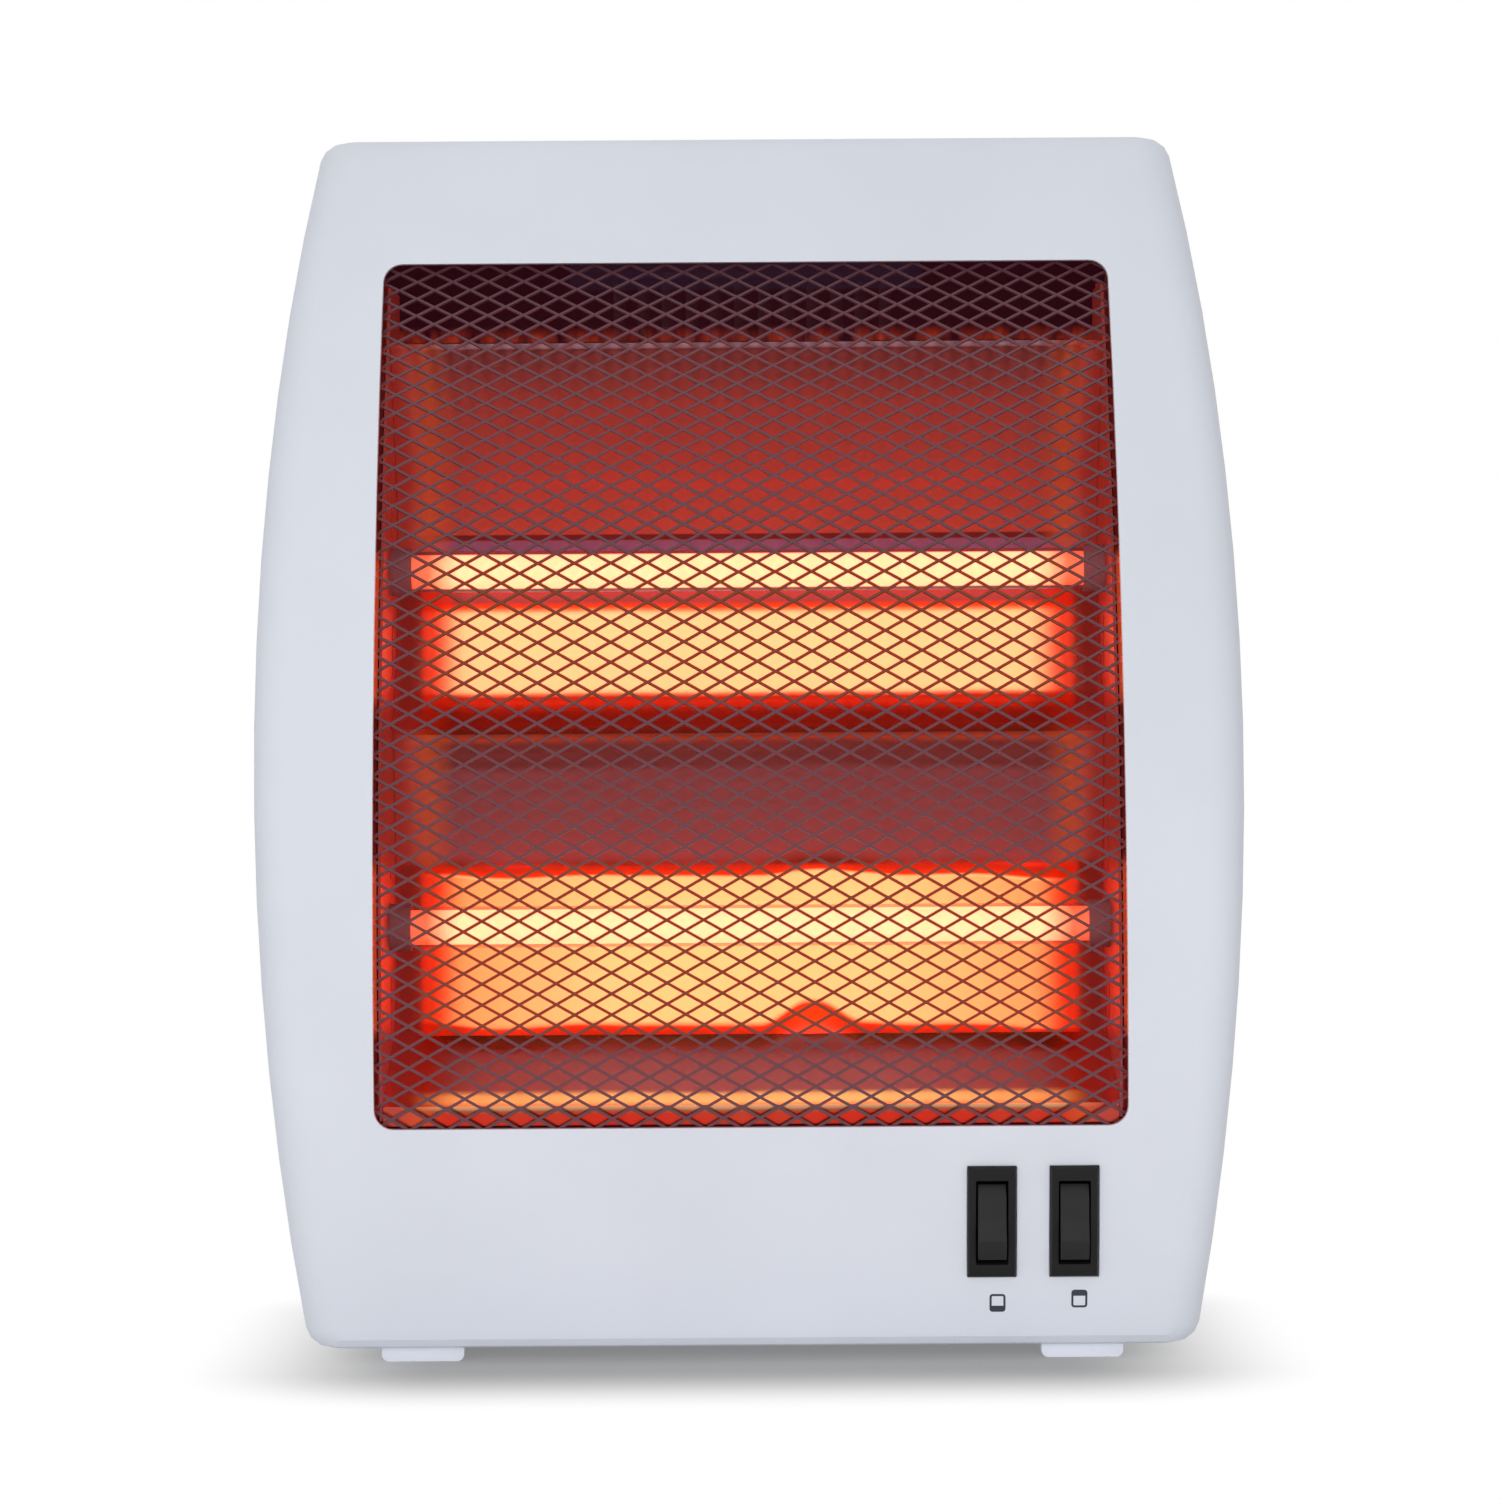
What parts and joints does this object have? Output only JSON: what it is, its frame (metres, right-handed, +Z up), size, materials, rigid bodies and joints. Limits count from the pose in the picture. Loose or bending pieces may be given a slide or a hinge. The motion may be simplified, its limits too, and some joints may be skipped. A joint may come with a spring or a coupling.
{
  "type": "electric bar heater",
  "caption": "Free-standing electric bar heater: bowed plastic housing, mesh guard, glowing quartz tubes before a polished reflector, rocker switches and tip-over switch.",
  "frame": {"origin": "centre of the bounding box's floor face, on the floor under the feet", "axes": "+X to the viewer's right, +Y to the back (the front faces -Y), +Z up"},
  "size_m": [0.28, 0.125, 0.355],
  "materials": {
    "front_shell": "pale silver-grey, fine satin",
    "rear_shell": "silver-grey, fine texture",
    "feet": "pale silver-grey, satin",
    "guard": "dark heat-proof coat",
    "reflector_sheet": "polished with slight waves",
    "end_sheet": "plain, warm tint from the heat",
    "quartz": "frosted quartz lit from inside",
    "hot_wire": "resistance wire, glowing",
    "ceramic": "unglazed, tinted red by the glow",
    "plated_steel": "zinc plated",
    "switch_black": "black, half gloss",
    "rocker_black": "black, half gloss",
    "brass_parts": "plain",
    "terminal_white": "off-white",
    "gland_black": "black, satin",
    "tip_switch_white": "off-white",
    "tip_plunger_red": "satin"
  },
  "bodies": {
    "housing": {"front_cover": "front_shell", "rear_cover": "rear_shell", "foot_left": "feet", "foot_right": "feet", "guard_mesh": "guard", "reflector": "reflector_sheet", "end_plate_left": "end_sheet", "end_plate_right": "end_sheet", "quartz_tube_upper": "quartz", "quartz_tube_lower": "quartz", "heating_coil_upper": "hot_wire", "heating_coil_lower": "hot_wire", "ceramic_caps_upper": "ceramic", "ceramic_caps_lower": "ceramic", "tube_terminals": "plated_steel", "switch_body_left": "switch_black", "switch_body_right": "switch_black", "switch_terminals": "brass_parts", "terminal_block": "terminal_white", "cord_gland": "gland_black", "tip_switch_body": "tip_switch_white", "tip_spring": "plated_steel", "case_screws": "plated_steel", "foot_screws": "plated_steel", "guard_screws": "plated_steel", "reflector_screws": "plated_steel"},
    "rocker_left": {"rocker_left": "rocker_black"},
    "rocker_right": {"rocker_right": "rocker_black"},
    "tip_plunger": {"tip_plunger": "tip_plunger_red"}
  },
  "joints": [
    {"name": "rocker_left_tilt", "type": "hinge", "parent": "housing", "child": "rocker_left", "pos_m": [0.06725, -0.05425, 0.04052], "axis": [1, 0, 0], "range_deg": [0, 22]},
    {"name": "rocker_right_tilt", "type": "hinge", "parent": "housing", "child": "rocker_right", "pos_m": [0.09035, -0.05425, 0.04052], "axis": [1, 0, 0], "range_deg": [0, 22]},
    {"name": "tip_plunger_slide", "type": "slide", "parent": "housing", "child": "tip_plunger", "axis": [0, 0, -1], "range_m": [0, 0.005], "stiffness_N_per_m": 200, "springref_m": 0.006, "deforming": ["tip_spring"]}
  ]
}
